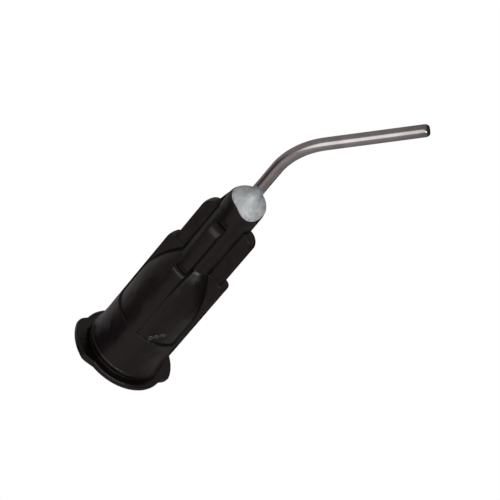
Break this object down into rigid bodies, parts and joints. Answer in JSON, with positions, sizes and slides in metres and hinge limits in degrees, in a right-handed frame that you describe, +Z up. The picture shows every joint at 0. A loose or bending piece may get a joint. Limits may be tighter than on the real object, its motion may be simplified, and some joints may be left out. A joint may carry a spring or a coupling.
{
  "type": "dispensing needle tip",
  "caption": "Bent dispensing needle tip: a finned luer lock hub moulded in black plastic, a steel cannula and the adhesive bead that bonds it in.",
  "frame": {"origin": "centre of the luer socket at the hub's open mouth face, which the part stands on", "axes": "+Z up the hub's axis from the mouth to the nose, +X the way the cannula bends, +Y completes the right-handed frame"},
  "size_m": [0.0108, 0.0068, 0.0305],
  "materials": {
    "hub": "satin",
    "cannula": "polished",
    "adhesive": "gloss"
  },
  "bodies": {
    "root": {"hub": "hub", "cannula": "cannula", "adhesive": "adhesive"}
  },
  "joints": []
}
